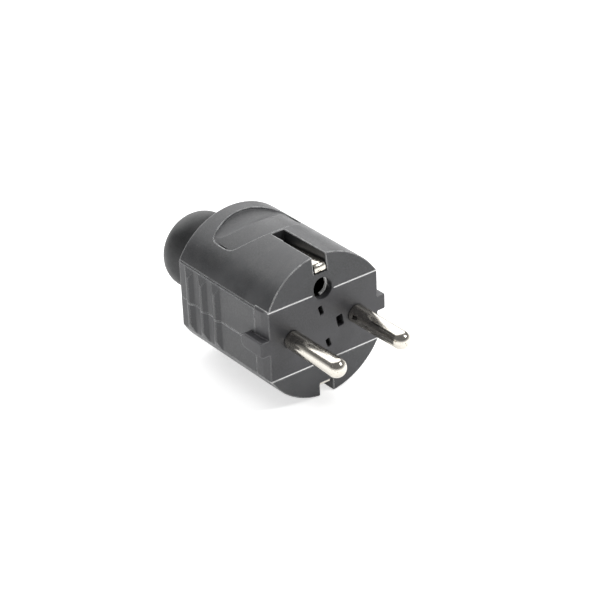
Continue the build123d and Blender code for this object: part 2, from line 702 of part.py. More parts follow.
# Cord clamp bar with its two screws
with BuildPart() as cord_clamp_bar:
    with BuildSketch(across(CLAMP_Y - CLAMP_BAR_W / 2)):
        with Locations((0, CLAMP_POST_TOP)):
            Rectangle(2 * (CLAMP_X + CLAMP_END), CLAMP_BAR_T, align=(Align.CENTER, Align.MIN))
        with BuildLine():
            Polyline(
                (-CLAMP_X + CLAMP_HEAD_R, CLAMP_POST_TOP + CLAMP_BAR_T),
                (-CLAMP_X / 2, CORD_R + CLAMP_ARCH),
                (CLAMP_X / 2, CORD_R + CLAMP_ARCH),
                (CLAMP_X - CLAMP_HEAD_R, CLAMP_POST_TOP + CLAMP_BAR_T),
                close=True,
            )
        make_face()
        Circle(CORD_R, mode=Mode.SUBTRACT)
    extrude(amount=-CLAMP_BAR_W)
    corners = cord_clamp_bar.edges().filter_by(Axis.Z).filter_by(lambda e: abs(e.center().X) > CLAMP_X)
    fillet(corners, CLAMP_BAR_W / 2 - CLAMP_FLAT)
    with Locations((CLAMP_X, CLAMP_Y, CLAMP_POST_TOP), (-CLAMP_X, CLAMP_Y, CLAMP_POST_TOP)):
        Cylinder(CLAMP_SCREW_R, CLAMP_DEPTH, mode=Mode.SUBTRACT)
clamp_seat = CLAMP_POST_TOP + CLAMP_BAR_T
clamp_l = CLAMP_BAR_T + CLAMP_DEPTH - TERM_SCREW_SHORT
cord_clamp_screw_left = slotted_screw(
    -CLAMP_X, CLAMP_Y, clamp_seat, CLAMP_SCREW_R, clamp_l, CLAMP_HEAD_R, CLAMP_HEAD_H, 1
)
cord_clamp_screw_right = slotted_screw(
    CLAMP_X, CLAMP_Y, clamp_seat, CLAMP_SCREW_R, clamp_l, CLAMP_HEAD_R, CLAMP_HEAD_H, 1
)

# Housing screws from below and their captive nuts
housing_l = NUT_Z + NUT_H - SCREW_SEAT_Z + SCREW_TIP
housing_screw_left = slotted_screw(
    -BOSS_X, BOSS_Y, SCREW_SEAT_Z, SCREW_R, housing_l, SCREW_HEAD_R, SCREW_HEAD_H, -1
)
housing_screw_right = slotted_screw(
    BOSS_X, BOSS_Y, SCREW_SEAT_Z, SCREW_R, housing_l, SCREW_HEAD_R, SCREW_HEAD_H, -1
)
nuts = []
for s in (-1, 1):
    with BuildPart() as nut:
        with BuildSketch(Plane.XY.offset(NUT_Z)):
            with Locations((s * BOSS_X, BOSS_Y)):
                RegularPolygon(NUT_AF / 2, 6, major_radius=False)
                Circle(SCREW_R, mode=Mode.SUBTRACT)
        extrude(amount=NUT_H)
    nuts.append(nut.part)

# Rubber grommet: inner flange, neck in the rear wall, waist and round bulb
with BuildPart() as cable_grommet:
    with BuildSketch(Plane.XY):
        with BuildLine():
            Polyline(
                (CORD_R, CAVITY_END - GROMMET_FLANGE_T),
                (GROMMET_FLANGE_R, CAVITY_END - GROMMET_FLANGE_T),
                (GROMMET_FLANGE_R, CAVITY_END),
                (NECK_R, CAVITY_END),
                (NECK_R, BODY_L),
                (GROMMET_FLANGE_R, BODY_L),
                (GROMMET_FLANGE_R, BODY_L + GROMMET_COLLAR),
            )
            ThreePointArc(
                (GROMMET_FLANGE_R, BODY_L + GROMMET_COLLAR),
                (WAIST_R, BODY_L + WAIST_Y),
                (FLARE_R, BODY_L + FLARE_Y),
            )
            flare = Line((FLARE_R, BODY_L + FLARE_Y), (SHOULDER_R, BODY_L + SHOULDER_Y))
            shoulder = TangentArc(flare @ 1, (BULB_R, BODY_L + BULB_Y), tangent=flare % 1)
            TangentArc(shoulder @ 1, (BULB_REAR_R, BODY_L + BULB_REAR_Y), tangent=shoulder % 1)
            Polyline(
                (BULB_REAR_R, BODY_L + BULB_REAR_Y),
                (BULB_FACE_R, BODY_L + BULB_L),
                (CORD_R + BULB_MOUTH, BODY_L + BULB_L),
                (CORD_R, BODY_L + BULB_L - BULB_MOUTH),
                (CORD_R, CAVITY_END - GROMMET_FLANGE_T),
            )
        make_face()
    revolve(axis=Axis.Y)

pieces = {
    "upper_shell": upper_shell.part,
    "lower_shell": lower_shell.part,
    "contact_carrier": contact_carrier.part,
    "pin_left": pins[0],
    "pin_right": pins[1],
    "terminal_screw_left": terminal_screw_left,
    "terminal_screw_right": terminal_screw_right,
    "earth_bracket": earth_bracket.part,
    "earth_socket_sleeve": earth_socket_sleeve.part,
    "sleeve_rivet": sleeve_rivet.part,
    "terminal_rivet": terminal_rivet.part,
    "earth_terminal": earth_terminal.part,
    "earth_terminal_screw": earth_terminal_screw,
    "cord_clamp_bar": cord_clamp_bar.part,
    "cord_clamp_screw_left": cord_clamp_screw_left,
    "cord_clamp_screw_right": cord_clamp_screw_right,
    "housing_screw_left": housing_screw_left,
    "housing_screw_right": housing_screw_right,
    "housing_nut_left": nuts[0],
    "housing_nut_right": nuts[1],
    "cable_grommet": cable_grommet.part,
}
for name, part in pieces.items():
    part.label = name
    export_step(part, "parts/" + name + ".step")
    print(name, len(part.solids()), round(part.volume, 1))
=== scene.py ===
import json
import math

import bmesh
import bpy
from mathutils import Matrix, Vector


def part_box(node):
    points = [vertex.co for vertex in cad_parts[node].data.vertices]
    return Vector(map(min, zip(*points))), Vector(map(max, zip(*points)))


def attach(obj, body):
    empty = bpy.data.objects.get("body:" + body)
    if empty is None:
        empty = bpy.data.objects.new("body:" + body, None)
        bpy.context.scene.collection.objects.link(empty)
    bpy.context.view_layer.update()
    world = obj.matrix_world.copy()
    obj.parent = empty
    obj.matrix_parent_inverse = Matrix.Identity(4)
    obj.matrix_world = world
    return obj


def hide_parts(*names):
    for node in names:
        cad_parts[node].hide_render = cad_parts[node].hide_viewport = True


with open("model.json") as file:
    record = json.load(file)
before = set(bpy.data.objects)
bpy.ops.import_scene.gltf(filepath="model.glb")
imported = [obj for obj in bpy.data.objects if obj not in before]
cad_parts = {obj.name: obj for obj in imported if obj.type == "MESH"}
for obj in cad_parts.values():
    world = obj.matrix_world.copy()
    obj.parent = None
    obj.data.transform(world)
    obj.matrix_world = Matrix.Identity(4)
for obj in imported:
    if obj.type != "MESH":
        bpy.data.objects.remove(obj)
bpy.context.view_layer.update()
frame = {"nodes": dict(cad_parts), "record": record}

MM = 0.001

# Camera of the photograph: where it stands round the plug, how it is rolled, and its lens
VIEW_AZIMUTH = -36.08
VIEW_ELEVATION = 29.37
VIEW_ROLL = -2.53
VIEW_DISTANCE = 525.33 * MM
VIEW_ACROSS = 5.79 * MM
VIEW_UP = -6.16 * MM
VIEW_CLIP = 10 * MM
SENSOR = 36.0
LENS = 134.16

# Studio: a pale sweep, a dim ceiling, a wide soft key from above the rear and a lamp over the right front
FLOOR_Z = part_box("lower_shell")[0].z
FLOOR_HALF = 3.0
FLOOR_PALE = 0.92
FLOOR_ROUGH = 0.9
SWEEP_GLOW = 0.64
SWEEP_ENDS = (0.02, 0.32)
CEILING_GREY = 0.2
KEY_TOWARDS = (0.26, 0.62, 0.74)
KEY_SPREAD = 80.0
KEY_POWER = 2.7
FRONT_LAMP_PLACE = (0.42, -0.40, 0.58)
FRONT_LAMP_SIZE = 0.22
FRONT_LAMP_POWER = 2.4
PLUG_MIDDLE = (0.0, 0.015, 0.0)

# Skins of the moulded pieces: cell of the rebuilt surface, share of its faces that stays, and softening.
# The shift keeps the cells' walls out of the flat faces, where they would leave steps.
SHELL_CELL = 0.13 * MM
SHELL_KEPT = 0.2
CARRIER_CELL = 0.12 * MM
CARRIER_KEPT = 0.3
GROMMET_CELL = 0.2 * MM
GROMMET_KEPT = 0.5
SKIN_SHIFT = Vector((0.031, 0.047, 0.053)) * MM
SOFT_FACTOR = 0.5
SOFT_ROUNDS = 3

# Metal pieces: broken edges, and the angle from which an edge stays sharp
METAL_EDGE = 0.07 * MM
METAL_EDGE_STEPS = 2
SHARP_ANGLE = math.radians(30)
MERGE = 0.002 * MM

# Thumb dish: extent of its floor, radius of the shallow strip and of the wall's underside, and the scoop
DISH_HALF = 10.4 * MM
DISH_FROM = 19.6 * MM
DISH_SCOOP_START = 24.8 * MM
DISH_DEEPEST = 29.2 * MM
DISH_STRIP_R = 18.2 * MM
DISH_UNDER_R = 16.0 * MM
DISH_LOW_Z = 17.15 * MM
DISH_ENTRY_R = 9.74 * MM
DISH_AXIS_Z = -11.0 * MM
DISH_COLUMNS = 104
DISH_ROWS = 48

# Contact pins, with the sizes of their solids; the shank runs on a little way into the terminal head
PIN_R = 2.4 * MM
PIN_NECK = 0.15 * MM
PIN_FOOT_EDGE = 0.06 * MM
SHANK_R = 2.1 * MM
SHANK_IN_HEAD = 0.4 * MM
HEAD_SLACK = 0.01 * MM
PIN_SIDES = 96
NOSE_RINGS = 18
CARRIER_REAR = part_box("contact_carrier")[1].y

# Slotted screws: shank radius, head height and whether the head is on top (1) or below (-1)
SCREWS = {
    "terminal_screw_left": (1.5 * MM, 1.8 * MM, 1),
    "terminal_screw_right": (1.5 * MM, 1.8 * MM, 1),
    "earth_terminal_screw": (1.5 * MM, 1.8 * MM, 1),
    "cord_clamp_screw_left": (1.2 * MM, 1.4 * MM, 1),
    "cord_clamp_screw_right": (1.2 * MM, 1.4 * MM, 1),
    "housing_screw_left": (1.5 * MM, 2.0 * MM, -1),
    "housing_screw_right": (1.5 * MM, 2.0 * MM, -1),
}
SCREW_INPUTS = (
    "Head Radius",
    "Head Height",
    "Chamfer",
    "Slot Width",
    "Slot Depth",
    "Shank Radius",
    "Shank Length",
    "Thread Pitch",
    "Thread Depth",
)
SCREW_CHAMFER = 0.25 * MM
SCREW_SIDES = 48
SLOT_W_IN_HEAD_RADII = 0.36
SLOT_BAR_L_IN_HEAD_RADII = 3.0
SLOT_BAR_H_IN_DEPTHS = 2.0
THREAD_PITCH = 0.6 * MM
THREAD_DEPTH = 0.18 * MM
THREAD_STEPS = 28
THREAD_CORNERS = 3

# Places on the front face, in millimetres in the row frame
SOCKET_Z = 10.1
SLEEVE_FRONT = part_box("earth_socket_sleeve")[0].y / MM
SEAM_Z = 9.25
# Half width of the painted highlight line on each front seam
SEAM_HIGHLIGHT_HALF_W = 0.2

# Ends of a smooth step: what it gives below its span and above it
RISES = (0.0, 1.0)
FALLS = (1.0, 0.0)

# Grain, wear, painted edge highlights and painted recess shade: the span of a noise, or of a point's
# openness to light, over which each one sets in
SPECK_SPAN = (0.36, 0.66)
EDGE_SPAN = (0.72, 0.96)
EDGE_BREAK_SPAN = (0.32, 0.62)
PATCH_SPAN = (0.35, 0.68)
LINE_SPAN = (0.66, 0.76)
LINE_STRETCH = (1.0, 0.06, 1.0)
UPWARD_SPAN = (0.1, 0.95)
DUST_CLOUD_SPAN = (0.4, 0.75)
DUST_SPECK_SPAN = (0.62, 0.72)
DUST_CLOUD_SHARE = 0.5
RECESS_SHADE_SPAN = (0.12, 0.55)
TARNISH_SPAN = (0.56, 0.68)

# Where the painted seam highlights and the part with holes, which gets no edge wear or painted edge
# highlight, end: in half widths of a seam highlight from its middle line, and in millimetres from the face,
# from the plug's middle or from the socket's axis
SEAM_HIGHLIGHT_SPAN = (0.6, 1.1)
HOLES_PAST_SEAM_SPAN = (-5.0, -3.0)
SEAM_DEPTH_SPAN = (0.3, 0.45)
SEAM_START_SPAN = (3.0, 3.4)
HOLES_X_SPAN = (11.0, 12.0)
HOLES_DEPTH_SPAN = (3.0, 3.2)
SOCKET_AWAY_SPAN = (4.3, 4.6)

# Black plastic: tones as shares of its own colour, added colours (dust, painted recess shade and the
# painted seam highlight), how far back its brighter painted front edge highlights reach in millimetres,
# what each layer adds to the roughness, and the relief of its grain
MOTTLE_LOW = 0.8
MOTTLE_HIGH = 1.2
HANDLED_TONE = 1.35
DUST_COLOUR = (0.16, 0.16, 0.155)
RECESS_SHADE_COLOUR = (0.006, 0.006, 0.006)
SEAM_HIGHLIGHT_COLOUR = (0.95, 0.95, 0.95)
FRONT_EDGE_HIGHLIGHT_SPAN = (1.7, 2.1)
HANDLED_ROUGH = 0.12
SPECK_ROUGH = -0.08
LINE_ROUGH = -0.02
DUST_ROUGH = 0.2
RECESS_ROUGH = 0.5
GRAIN_STRENGTH = 0.3
GRAIN_HEIGHT = 0.014 * MM

# Metals: likewise, with the painted highlight on the rim of the sleeve before its inside, which is painted
# shade, in millimetres
METAL_PATCH = 0.35
METAL_REACH = 2.2
WORN_TONE = 1.12
RECESS_SHADE_TONE = 0.12
RIM_L = 0.5
RIM_FADE = 0.3
RIM_HIGHLIGHT_SIDE_SPAN = (0.2, 0.6)
RIM_HIGHLIGHT_COLOUR = (0.95, 0.95, 0.93)
SLEEVE_INSIDE_SHADE = (0.02, 0.018, 0.016)
SCUFF_ROUGH = 0.18
STAIN_ROUGH = 0.25
METAL_STRENGTH = 0.2
METAL_HEIGHT = 0.006 * MM

# The colour sockets of a Mix node, and the rays of an Ambient Occlusion node
MIX_FIRST = 6
MIX_SECOND = 7
MIX_RESULT = 2
AO_SAMPLES = 4


def link(piece):
    """Puts a new object into the scene."""
    bpy.context.scene.collection.objects.link(piece)
    return piece


def settled(piece):
    """The piece with its modifiers worked into its mesh."""
    depsgraph = bpy.context.evaluated_depsgraph_get()
    mesh = bpy.data.meshes.new_from_object(piece.evaluated_get(depsgraph))
    piece.modifiers.clear()
    piece.data = mesh
    mesh.name = piece.name
    return piece


def shaded(piece):
    """Smooth shading that stops at sharp edges."""
    piece.data.shade_smooth()
    piece.data.set_sharp_from_angle(angle=SHARP_ANGLE)
    return piece


def stands_for(piece, node, slot, finish=None):
    """Gives the piece its finish, the body it moves with and the solid it is shown for."""
    piece.data.materials.clear()
    piece.data.materials.append(finishes[finish or slot])
    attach(piece, "root")
    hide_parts(node)
    return piece


def merged_copy(node, name):
    """A copy of a solid's mesh with its loose triangles joined."""
    mesh = frame["nodes"][node].data.copy()
    shape = bmesh.new()
    shape.from_mesh(mesh)
    bmesh.ops.remove_doubles(shape, verts=shape.verts, dist=MERGE)
    shape.to_mesh(mesh)
    shape.free()
    return link(bpy.data.objects.new(name, mesh))


def dish_surface(x, y):
    """Height of the thumb dish's floor: a shallow strip in front, then a scoop down to its lowest line."""
    strip = math.sqrt(DISH_STRIP_R**2 - x**2)
    if y <= DISH_SCOOP_START:
        return strip
    run = y - DISH_DEEPEST
    profile = DISH_LOW_Z + DISH_ENTRY_R - math.sqrt(DISH_ENTRY_R**2 - run**2)
    scoop = DISH_AXIS_Z + math.sqrt((profile - DISH_AXIS_Z) ** 2 - x**2)
    return min(strip, scoop)


def dish_floor():
    """The wall under the front of the thumb dish, as a closed slab that the upper shell's skin takes in."""
    across = [(2 * step / DISH_COLUMNS - 1) * DISH_HALF for step in range(DISH_COLUMNS + 1)]
    length = DISH_DEEPEST - DISH_FROM
    along = [DISH_FROM + length * step / DISH_ROWS for step in range(DISH_ROWS + 1)]
    under = [math.sqrt(DISH_UNDER_R**2 - x**2) for x in across]
    slab = bmesh.new()
    top = [[slab.verts.new((x, y, dish_surface(x, y))) for x in across] for y in along]
    low = [[slab.verts.new((x, y, z)) for x, z in zip(across, under)] for y in along]
    for row in range(DISH_ROWS):
        for column in range(DISH_COLUMNS):
            corners = ((row, column), (row, column + 1), (row + 1, column + 1), (row + 1, column))
            slab.faces.new([top[i][j] for i, j in corners])
            slab.faces.new([low[i][j] for i, j in reversed(corners)])
    edges = (
        (top[0], low[0]),
        (low[-1], top[-1]),
        ([line[-1] for line in top], [line[-1] for line in low]),
        ([line[0] for line in low], [line[0] for line in top]),
    )
    for upper, lower in edges:
        for first in range(len(upper) - 1):
            slab.faces.new((upper[first + 1], upper[first], lower[first], lower[first + 1]))
    bmesh.ops.recalc_face_normals(slab, faces=slab.faces)
    return slab


def moulded(node, cell, kept):
    """A moulded piece: the solid's form with the small soft radius that every moulded edge has."""
    piece = merged_copy(node, node + "_moulded")
    if node == "upper_shell":
        # The solid's dish is too deep along its front, so the skin takes in the floor as it should be
        whole = dish_floor()
        whole.from_mesh(piece.data)
        whole.to_mesh(piece.data)
        whole.free()
    piece.data.transform(Matrix.Translation(SKIN_SHIFT))
    skin = piece.modifiers.new("skin", "REMESH")
    skin.mode = "VOXEL"
    skin.voxel_size = cell
    settled(piece)
    soften = piece.modifiers.new("soft_edges", "SMOOTH")
    soften.factor = SOFT_FACTOR
    soften.iterations = SOFT_ROUNDS
    thin = piece.modifiers.new("fewer_faces", "DECIMATE")
    thin.ratio = kept
    settled(piece)
    piece.data.transform(Matrix.Translation(-SKIN_SHIFT))
    piece.data.shade_smooth()
    return piece


def metal_part(node):
    """A stamped or turned metal piece: the solid's form with broken edges."""
    piece = merged_copy(node, node + "_finished")
    broken = piece.modifiers.new("broken_edges", "BEVEL")
    broken.width = METAL_EDGE
    broken.segments = METAL_EDGE_STEPS
    broken.limit_method = "ANGLE"
    broken.angle_limit = SHARP_ANGLE
    broken.use_clamp_overlap = False
    return shaded(settled(piece))


def pin_outline(nose_y):
    """Radius and place along the pin, from the tip of the nose to the end of the shank."""
    line = []
    for ring in range(NOSE_RINGS + 1):
        turn = math.pi / 2 * ring / NOSE_RINGS
        line.append((PIN_R * math.sin(turn), nose_y + PIN_R * (1 - math.cos(turn))))
    line.append((PIN_R, -PIN_NECK - PIN_FOOT_EDGE))
    line.append((PIN_R - PIN_FOOT_EDGE, -PIN_NECK))
    line.append((SHANK_R, -PIN_NECK))
    line.append((SHANK_R, CARRIER_REAR + SHANK_IN_HEAD))
    line.append((0.0, CARRIER_REAR + SHANK_IN_HEAD))
    return line


def contact_pin(node):
    """A turned contact pin with a round nose, on the solid's own square terminal head."""
    low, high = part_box(node)
    middle = (low.x + high.x) / 2
    piece = merged_copy(node, node + "_turned")
    shape = bmesh.new()
    shape.from_mesh(piece.data)
    head_from = CARRIER_REAR - HEAD_SLACK
    front = [face for face in shape.faces if face.calc_center_median().y < head_from]
    bmesh.ops.delete(shape, geom=front, context="FACES")
    rim = [edge for edge in shape.edges if edge.is_boundary]
    bmesh.ops.holes_fill(shape, edges=rim)
    old = set(shape.verts)
    line = [shape.verts.new((middle + r, y, 0)) for r, y in pin_outline(low.y)]
    spokes = [shape.edges.new(pair) for pair in zip(line, line[1:])]
    bmesh.ops.spin(
        shape,
        geom=line + spokes,
        cent=(middle, 0, 0),
        axis=(0, 1, 0),
        angle=2 * math.pi,
        steps=PIN_SIDES,
        use_merge=True,
    )
    turned = [vert for vert in shape.verts if vert not in old]
    bmesh.ops.remove_doubles(shape, verts=turned, dist=MERGE)
    bmesh.ops.recalc_face_normals(shape, faces=shape.faces)
    shape.to_mesh(piece.data)
    shape.free()
    return shaded(piece)


def geo(tree, kind, inputs=None, **settings):
    """A geometry node of that kind; the dictionary holds the values and links of its inputs."""
    made = tree.nodes.new(kind)
    for name, value in settings.items():
        setattr(made, name, value)
    for socket, value in (inputs or {}).items():
        if isinstance(value, bpy.types.NodeSocket):
            tree.links.new(value, made.inputs[socket])
        else:
            made.inputs[socket].default_value = value
    return made


def reckon(tree, operation, first, second):
    """The result socket of a sum on two sockets or numbers."""
    made = geo(tree, "ShaderNodeMath", {0: first, 1: second}, operation=operation)
    return made.outputs[0]


def spot(tree, x=0.0, y=0.0, z=0.0):
    """A vector made of three sockets or numbers."""
    return geo(tree, "ShaderNodeCombineXYZ", {"X": x, "Y": y, "Z": z}).outputs[0]


def moved(tree, shape, place):
    """A shape moved to a place."""
    made = geo(tree, "GeometryNodeTransform", {"Geometry": shape, "Translation": place})
    return made.outputs[0]


def slotted_screw_tree():
    """Cheese-head screw: chamfered head with a slot, and a shank with a wound thread."""
    tree = bpy.data.node_groups.new("slotted_screw", "GeometryNodeTree")
    tree.interface.new_socket("Geometry", in_out="OUTPUT", socket_type="NodeSocketGeometry")
    for label in SCREW_INPUTS:
        tree.interface.new_socket(label, in_out="INPUT", socket_type="NodeSocketFloat")
    tree.interface.new_socket("Finish", in_out="INPUT", socket_type="NodeSocketMaterial")
    size = tree.nodes.new("NodeGroupInput").outputs
    rim_h = reckon(tree, "SUBTRACT", size["Head Height"], size["Chamfer"])
    drum = geo(
        tree,
        "GeometryNodeMeshCylinder",
        {"Vertices": SCREW_SIDES, "Radius": size["Head Radius"], "Depth": rim_h},
    ).outputs["Mesh"]
    drum = moved(tree, drum, spot(tree, z=reckon(tree, "MULTIPLY", rim_h, 0.5)))
    crown = geo(
        tree,
        "GeometryNodeMeshCone",
        {
            "Vertices": SCREW_SIDES,
            "Radius Top": reckon(tree, "SUBTRACT", size["Head Radius"], size["Chamfer"]),
            "Radius Bottom": size["Head Radius"],
            "Depth": size["Chamfer"],
        },
    ).outputs["Mesh"]
    crown = moved(tree, crown, spot(tree, z=rim_h))
    head = geo(tree, "GeometryNodeMeshBoolean", operation="UNION", solver="EXACT")
    tree.links.new(drum, head.inputs["Mesh 2"])
    tree.links.new(crown, head.inputs["Mesh 2"])
    bar_l = reckon(tree, "MULTIPLY", size["Head Radius"], SLOT_BAR_L_IN_HEAD_RADII)
    bar_h = reckon(tree, "MULTIPLY", size["Slot Depth"], SLOT_BAR_H_IN_DEPTHS)
    bar_size = spot(tree, bar_l, size["Slot Width"], bar_h)
    bar = geo(tree, "GeometryNodeMeshCube", {"Size": bar_size}).outputs["Mesh"]
    bar = moved(tree, bar, spot(tree, z=size["Head Height"]))
    slotted = geo(tree, "GeometryNodeMeshBoolean", operation="DIFFERENCE", solver="EXACT")
    tree.links.new(head.outputs["Mesh"], slotted.inputs["Mesh 1"])
    tree.links.new(bar, slotted.inputs["Mesh 2"])
    core_r = reckon(tree, "SUBTRACT", size["Shank Radius"], size["Thread Depth"])
    core = geo(
        tree,
        "GeometryNodeMeshCylinder",
        {"Vertices": SCREW_SIDES, "Radius": core_r, "Depth": size["Shank Length"]},
    ).outputs["Mesh"]
    core = moved(tree, core, spot(tree, z=reckon(tree, "MULTIPLY", size["Shank Length"], -0.5)))
    wound_l = reckon(tree, "SUBTRACT", size["Shank Length"], size["Thread Pitch"])
    helix = geo(
        tree,
        "GeometryNodeCurveSpiral",
        {
            "Resolution": THREAD_STEPS,
            "Rotations": reckon(tree, "DIVIDE", wound_l, size["Thread Pitch"]),
            "Start Radius": core_r,
            "End Radius": core_r,
            "Height": wound_l,
        },
    ).outputs["Curve"]
    tooth = geo(
        tree,
        "GeometryNodeCurvePrimitiveCircle",
        {"Resolution": THREAD_CORNERS, "Radius": size["Thread Depth"]},
    ).outputs["Curve"]
    thread = geo(
        tree,
        "GeometryNodeCurveToMesh",
        {"Curve": helix, "Profile Curve": tooth, "Fill Caps": True},
    ).outputs["Mesh"]
    half_pitch = reckon(tree, "MULTIPLY", size["Thread Pitch"], 0.5)
    thread_z = reckon(tree, "SUBTRACT", half_pitch, size["Shank Length"])
    thread = moved(tree, thread, spot(tree, z=thread_z))
    together = geo(tree, "GeometryNodeJoinGeometry")
    for shape in (slotted.outputs["Mesh"], core, thread):
        tree.links.new(shape, together.inputs[0])
    plain = geo(tree, "GeometryNodeRealizeInstances", {"Geometry": together.outputs[0]}).outputs[0]
    finished = geo(tree, "GeometryNodeSetMaterial", {"Geometry": plain, "Material": size["Finish"]})
    end = tree.nodes.new("NodeGroupOutput")
    tree.links.new(finished.outputs[0], end.inputs[0])
    return tree


def screw(node, shank_r, head_h, up):
    """A screw in its solid's place, wound by the screw tree."""
    low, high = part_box(node)
    head_r = (high.x - low.x) / 2
    mesh = bpy.data.meshes.new(node)
    piece = link(bpy.data.objects.new(node + "_threaded", mesh))
    grown = piece.modifiers.new("screw", "NODES")
    grown.node_group = screw_nodes
    sizes = {
        "Head Radius": head_r,
        "Head Height": head_h,
        "Chamfer": SCREW_CHAMFER,
        "Slot Width": SLOT_W_IN_HEAD_RADII * head_r,
        "Slot Depth": head_h / 2,
        "Shank Radius": shank_r,
        "Shank Length": high.z - low.z - head_h,
        "Thread Pitch": THREAD_PITCH,
        "Thread Depth": THREAD_DEPTH,
        "Finish": finishes["steel"],
    }
    for socket in screw_nodes.interface.items_tree:
        if socket.in_out == "INPUT":
            grown[socket.identifier] = sizes[socket.name]
    settled(piece)
    seat = high.z - head_h if up > 0 else low.z + head_h
    place = Matrix.Translation(((low.x + high.x) / 2, (low.y + high.y) / 2, seat))
    turn = Matrix.Rotation(0 if up > 0 else math.pi, 4, "X")
    piece.data.transform(place @ turn)
    return shaded(piece)


def put(tree, kind, **settings):
    """A shader node of that kind with its settings."""
    made = tree.nodes.new("ShaderNode" + kind)
    for name, value in settings.items():
        setattr(made, name, value)
    return made


def to(tree, value, node, socket):
    """Gives a node's input a number, a colour, or what comes out of a (node, output) pair."""
    if not isinstance(value, tuple):
        node.inputs[socket].default_value = value
    elif isinstance(value[0], bpy.types.Node):
        tree.links.new(value[0].outputs[value[1]], node.inputs[socket])
    else:
        node.inputs[socket].default_value = (*value, 1)


def effect(name, inputs, outputs):
    """An empty shader node group with named number inputs and outputs."""
    group = bpy.data.node_groups.new(name, "ShaderNodeTree")
    for label, value in inputs.items():
        socket = group.interface.new_socket(label, in_out="INPUT", socket_type="NodeSocketFloat")
        socket.default_value = value
    for label in outputs:
        group.interface.new_socket(label, in_out="OUTPUT", socket_type="NodeSocketFloat")
    return group, group.nodes.new("NodeGroupInput"), group.nodes.new("NodeGroupOutput")


def millimetres(tree, stretch=(1.0, 1.0, 1.0)):
    """The piece's own place in millimetres, stretched along its axes."""
    scale = put(tree, "Mapping")
    scale.inputs["Scale"].default_value = [1 / MM * share for share in stretch]
    to(tree, (put(tree, "TexCoord"), "Object"), scale, "Vector")
    return (scale, "Vector")


def axes(tree, vector):
    """A node that gives a vector's X, Y and Z."""
    made = put(tree, "SeparateXYZ")
    to(tree, vector, made, "Vector")
    return made


def calc(tree, operation, first, second=None, clamp=False):
    """A math node; each side is a number or a (node, output) pair."""
    made = put(tree, "Math", operation=operation, use_clamp=clamp)
    to(tree, first, made, 0)
    if second is not None:
        to(tree, second, made, 1)
    return (made, "Value")


def product(tree, *shares):
    """Several shares multiplied with one another."""
    whole = shares[0]
    for share in shares[1:]:
        whole = calc(tree, "MULTIPLY", whole, share)
    return whole


def ramp(tree, value, span, ends=RISES):
    """A smooth step: the first end below the span, the second end above it."""
    made = put(tree, "MapRange", interpolation_type="SMOOTHSTEP")
    to(tree, value, made, "Value")
    for socket, number in zip(("From Min", "From Max", "To Min", "To Max"), (*span, *ends)):
        to(tree, number, made, socket)
    return (made, "Result")


def noise(tree, place, cells, detail=3.0, rough=0.5):
    """A noise value at a number of cells to the millimetre."""
    made = put(tree, "TexNoise")
    to(tree, place, made, "Vector")
    to(tree, cells, made, "Scale")
    to(tree, detail, made, "Detail")
    to(tree, rough, made, "Roughness")
    return (made, "Fac")


def mould_grain():
    """Fine spark-eroded grain of a moulding with a slow swell under it, and its lighter specks."""
    group, given, result = effect("mould_grain", {"Fineness": 5.0, "Swell": 0.3}, ["Height", "Speck"])
    place = millimetres(group)
    fine = put(group, "TexVoronoi", feature="SMOOTH_F1")
    to(group, place, fine, "Vector")
    to(group, (given, "Fineness"), fine, "Scale")
    swell = product(group, noise(group, place, cells=0.22, detail=2.0), (given, "Swell"))
    grains = calc(group, "ADD", (fine, "Distance"), noise(group, place, cells=9.0))
    to(group, calc(group, "ADD", grains, swell), result, "Height")
    specks = noise(group, place, cells=2.6, rough=0.65)
    to(group, ramp(group, specks, SPECK_SPAN), result, "Speck")
    return group


def outer_edge_marks():
    """Outer edges, broken up along their length: metal shows rubbed wear there, plastic edge wear and a
    painted highlight.
    """
    group, given, result = effect("outer_edge_marks", {"Reach": 0.34, "Break": 0.5}, ["Edge Share"])
    thin = put(group, "AmbientOcclusion", inside=True, only_local=True, samples=AO_SAMPLES)
    to(group, product(group, (given, "Reach"), MM), thin, "Distance")
    edge = ramp(group, (thin, "AO"), EDGE_SPAN, FALLS)
    patches = ramp(group, noise(group, millimetres(group), cells=0.7, detail=4.0), EDGE_BREAK_SPAN)
    whole = calc(group, "SUBTRACT", 1.0, (given, "Break"))
    share = calc(group, "ADD", whole, product(group, patches, (given, "Break")))
    to(group, calc(group, "MULTIPLY", edge, share, clamp=True), result, "Edge Share")
    return group


def handling():
    """Slow patches left by hands, and fine rubbed lines."""
    group, given, result = effect("handling", {"Patch": 0.12, "Line": 1.0}, ["Patches", "Lines"])
    slow = noise(group, millimetres(group), cells=(given, "Patch"), detail=5.0)
    to(group, ramp(group, slow, PATCH_SPAN), result, "Patches")
    fine = noise(group, millimetres(group, LINE_STRETCH), cells=7.0, detail=2.0)
    to(group, product(group, ramp(group, fine, LINE_SPAN), (given, "Line")), result, "Lines")
    return group


def settled_dust():
    """Dust that lies on faces turned upwards, in loose specks."""
    group, given, result = effect("settled_dust", {"Amount": 0.5}, ["Dust"])
    up = ramp(group, (axes(group, (put(group, "NewGeometry"), "Normal")), "Z"), UPWARD_SPAN)
    place = millimetres(group)
    clouds = ramp(group, noise(group, place, cells=0.35, detail=4.0), DUST_CLOUD_SPAN)
    specks = ramp(group, noise(group, place, cells=7.0, detail=2.0), DUST_SPECK_SPAN)
    both = calc(group, "ADD", product(group, clouds, DUST_CLOUD_SHARE), specks)
    lying = product(group, both, up)
    to(group, calc(group, "MULTIPLY", lying, (given, "Amount"), clamp=True), result, "Dust")
    return group


def recess_shade():
    """How deep a surface lies in a hole, slot or groove, where painted shade darkens it."""
    group, given, result = effect("recess_shade", {"Reach": 3.0}, ["Recess Shade"])
    hollow = put(group, "AmbientOcclusion", samples=AO_SAMPLES)
    to(group, product(group, (given, "Reach"), MM), hollow, "Distance")
    to(group, ramp(group, (hollow, "AO"), RECESS_SHADE_SPAN, FALLS), result, "Recess Shade")
    return group


